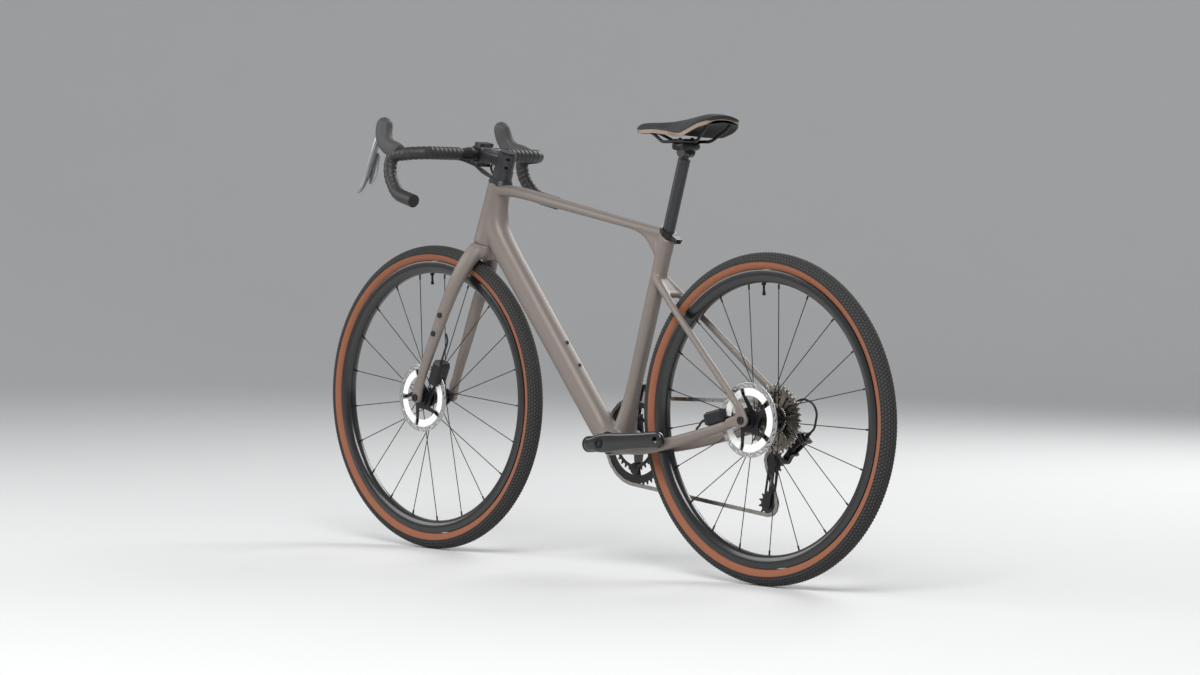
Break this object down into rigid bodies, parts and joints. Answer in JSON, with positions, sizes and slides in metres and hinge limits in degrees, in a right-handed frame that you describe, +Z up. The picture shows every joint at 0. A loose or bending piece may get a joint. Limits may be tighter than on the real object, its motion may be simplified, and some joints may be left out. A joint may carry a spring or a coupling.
{
  "type": "gravel bike",
  "caption": "Gravel bicycle with drop bar, disc brakes, derailleur gears and wide treaded tyres; wheels, cranks, steering, levers and saddle move.",
  "frame": {"origin": "on the floor, midway between the two axles, in the bike's mid-plane", "axes": "+X forward, +Y to the rider's left, +Z up"},
  "size_m": [1.7568, 0.4828, 1.0049],
  "materials": {
    "frame_paint": "matte",
    "black_alloy": "satin",
    "black_gloss": "gloss",
    "grey_alloy": "satin",
    "rim_black": "satin",
    "steel": "brushed",
    "dark_steel": "satin",
    "bronze_steel": "brushed",
    "tyre": "matte",
    "rubber": "matte",
    "tape": "matte",
    "plastic": "matte",
    "saddle_skin": "matte",
    "saddle_base": "matte"
  },
  "bodies": {
    "frame": {"frame": "frame_paint", "headset_bearings": "steel", "bottom_bracket_cups": "black_alloy", "derailleur_hanger": "black_alloy", "rear_axle": "black_alloy", "seat_clamp": "black_alloy", "frame_bolts": "dark_steel", "rear_caliper": "black_alloy", "rear_cables": "rubber", "rear_mech_knuckle": "black_alloy", "front_mech_base": "black_alloy", "chain": "steel"},
    "steering": {"fork": "frame_paint", "headset_spacers": "black_alloy", "stem": "black_alloy", "stem_faceplate": "black_alloy", "steering_bolts": "dark_steel", "stem_cap": "black_alloy", "handlebar": "black_alloy", "bar_tape": "tape", "bar_plugs": "plastic", "brake_hoods": "rubber", "front_caliper": "black_alloy", "front_axle": "black_alloy", "cockpit_hoses": "rubber"},
    "front_wheel": {"front_tyre": "tyre", "front_rim": "rim_black", "front_hub": "black_alloy", "front_spokes": "dark_steel", "front_rotor": "steel"},
    "rear_wheel": {"rear_tyre": "tyre", "rear_rim": "rim_black", "rear_hub": "black_alloy", "rear_spokes": "dark_steel", "rear_rotor": "steel"},
    "cassette": {"cassette": "bronze_steel"},
    "crankset": {"crank_arm_right": "black_gloss", "crank_arm_left": "black_gloss", "chainrings": "black_alloy", "crank_bolts": "dark_steel"},
    "rear_mech": {"rear_mech_carrier": "black_alloy", "rear_mech_cage": "black_alloy"},
    "rear_mech_outer": {"rear_mech_outer_link": "black_alloy"},
    "rear_mech_inner": {"rear_mech_inner_link": "black_alloy"},
    "guide_pulley": {"guide_pulley": "plastic"},
    "tension_pulley": {"tension_pulley": "plastic"},
    "front_mech": {"front_mech_cage": "grey_alloy"},
    "lever_left": {"brake_lever_left": "grey_alloy"},
    "lever_right": {"brake_lever_right": "grey_alloy"},
    "paddle_left": {"shift_paddle_left": "grey_alloy"},
    "paddle_right": {"shift_paddle_right": "grey_alloy"},
    "front_outer_pad": {"front_pad_outer": "steel"},
    "front_inner_pad": {"front_pad_inner": "steel"},
    "rear_outer_pad": {"rear_pad_outer": "steel"},
    "rear_inner_pad": {"rear_pad_inner": "steel"},
    "seatpost": {"seatpost": "black_alloy"},
    "saddle_cradle": {"saddle_clamp": "black_alloy"},
    "saddle": {"saddle_rails": "dark_steel", "saddle_shell": "saddle_base", "saddle_cover": "saddle_skin"}
  },
  "joints": [
    {"name": "steer", "type": "hinge", "parent": "frame", "child": "steering", "pos_m": [0.35315, 0, 0.716], "axis": [-0.3173, 0, 0.9483], "range_deg": [-60, 60]},
    {"name": "front_wheel_spin", "type": "hinge", "parent": "steering", "child": "front_wheel", "pos_m": [0.5235, 0, 0.355], "axis": [0, 1, 0], "continuous": true},
    {"name": "rear_wheel_spin", "type": "hinge", "parent": "frame", "child": "rear_wheel", "pos_m": [-0.5235, 0, 0.355], "axis": [0, 1, 0], "continuous": true},
    {"name": "crank_spin", "type": "hinge", "parent": "frame", "child": "crankset", "pos_m": [-0.09399, 0, 0.283], "axis": [0, 1, 0], "continuous": true, "deforming": ["chain"]},
    {"name": "cassette_spin", "type": "hinge", "parent": "frame", "child": "cassette", "pos_m": [-0.5235, 0, 0.355], "axis": [0, 1, 0], "continuous": true, "deforming": ["chain"]},
    {"name": "guide_pulley_spin", "type": "hinge", "parent": "rear_mech", "child": "guide_pulley", "pos_m": [-0.5045, 0, 0.263], "axis": [0, 1, 0], "continuous": true, "deforming": ["chain"]},
    {"name": "tension_pulley_spin", "type": "hinge", "parent": "rear_mech", "child": "tension_pulley", "pos_m": [-0.48944, 0, 0.17021], "axis": [0, 1, 0], "continuous": true, "deforming": ["chain"]},
    {"name": "rear_shift", "type": "slide", "parent": "frame", "child": "rear_mech", "axis": [0, 1, 0], "range_m": [-0.0073, 0.0073], "deforming": ["chain"]},
    {"name": "outer_link_swing", "type": "hinge", "parent": "frame", "child": "rear_mech_outer", "pos_m": [-0.5565, -0.097, 0.313], "axis": [0.6392, 0, 0.769], "range_deg": [-9.6, 9.6], "deforming": ["chain"]},
    {"name": "inner_link_swing", "type": "hinge", "parent": "frame", "child": "rear_mech_inner", "pos_m": [-0.5565, -0.075, 0.313], "axis": [0.6392, 0, 0.769], "range_deg": [-9.6, 9.6], "deforming": ["chain"]},
    {"name": "front_shift_trim", "type": "hinge", "parent": "frame", "child": "front_mech", "pos_m": [-0.13052, -0.0316, 0.40643], "axis": [1, 0, 0], "range_deg": [-3, 3]},
    {"name": "brake_lever_left", "type": "hinge", "parent": "steering", "child": "lever_left", "pos_m": [0.51043, 0.194, 0.95508], "axis": [0, 1, 0], "range_deg": [0, 24], "stiffness_Nm_per_rad": 0.6, "springref_deg": -17.19},
    {"name": "shift_paddle_left", "type": "hinge", "parent": "lever_left", "child": "paddle_left", "pos_m": [0.51743, 0.1867, 0.91808], "axis": [-1, 0, 0], "range_deg": [0, 15], "stiffness_Nm_per_rad": 0.2, "springref_deg": -17.19},
    {"name": "brake_lever_right", "type": "hinge", "parent": "steering", "child": "lever_right", "pos_m": [0.51043, -0.194, 0.95508], "axis": [0, 1, 0], "range_deg": [0, 24], "stiffness_Nm_per_rad": 0.6, "springref_deg": -17.19},
    {"name": "shift_paddle_right", "type": "hinge", "parent": "lever_right", "child": "paddle_right", "pos_m": [0.51743, -0.1867, 0.91808], "axis": [1, 0, 0], "range_deg": [0, 15], "stiffness_Nm_per_rad": 0.2, "springref_deg": -17.19},
    {"name": "front_outer_pad_slide", "type": "slide", "parent": "steering", "child": "front_outer_pad", "axis": [0, -1, 0], "range_m": [0, 0.00036]},
    {"name": "front_inner_pad_slide", "type": "slide", "parent": "steering", "child": "front_inner_pad", "axis": [0, 1, 0], "range_m": [0, 0.00036]},
    {"name": "rear_outer_pad_slide", "type": "slide", "parent": "frame", "child": "rear_outer_pad", "axis": [0, -1, 0], "range_m": [0, 0.00036]},
    {"name": "rear_inner_pad_slide", "type": "slide", "parent": "frame", "child": "rear_inner_pad", "axis": [0, 1, 0], "range_m": [0, 0.00036]},
    {"name": "seatpost_height", "type": "slide", "parent": "frame", "child": "seatpost", "axis": [-0.2756, 0, 0.9613], "range_m": [-0.09, 0.06]},
    {"name": "saddle_tilt", "type": "hinge", "parent": "seatpost", "child": "saddle_cradle", "pos_m": [-0.27751, 0, 0.92301], "axis": [0, 1, 0], "range_deg": [-10, 10]},
    {"name": "saddle_fore_aft", "type": "slide", "parent": "saddle_cradle", "child": "saddle", "axis": [1, 0, 0], "range_m": [-0.013, 0.013]}
  ],
  "couplings": [
    {"joint": "cassette_spin", "follows": "crank_spin", "ratio": 2.8235},
    {"joint": "guide_pulley_spin", "follows": "crank_spin", "ratio": -4},
    {"joint": "tension_pulley_spin", "follows": "crank_spin", "ratio": 4},
    {"joint": "outer_link_swing", "follows": "rear_shift", "rad_per_m": 21.8},
    {"joint": "inner_link_swing", "follows": "rear_shift", "rad_per_m": 21.8},
    {"joint": "front_outer_pad_slide", "follows": "brake_lever_left", "m_per_rad": 0.00084},
    {"joint": "front_inner_pad_slide", "follows": "brake_lever_left", "m_per_rad": 0.00084},
    {"joint": "rear_outer_pad_slide", "follows": "brake_lever_right", "m_per_rad": 0.00084},
    {"joint": "rear_inner_pad_slide", "follows": "brake_lever_right", "m_per_rad": 0.00084}
  ]
}
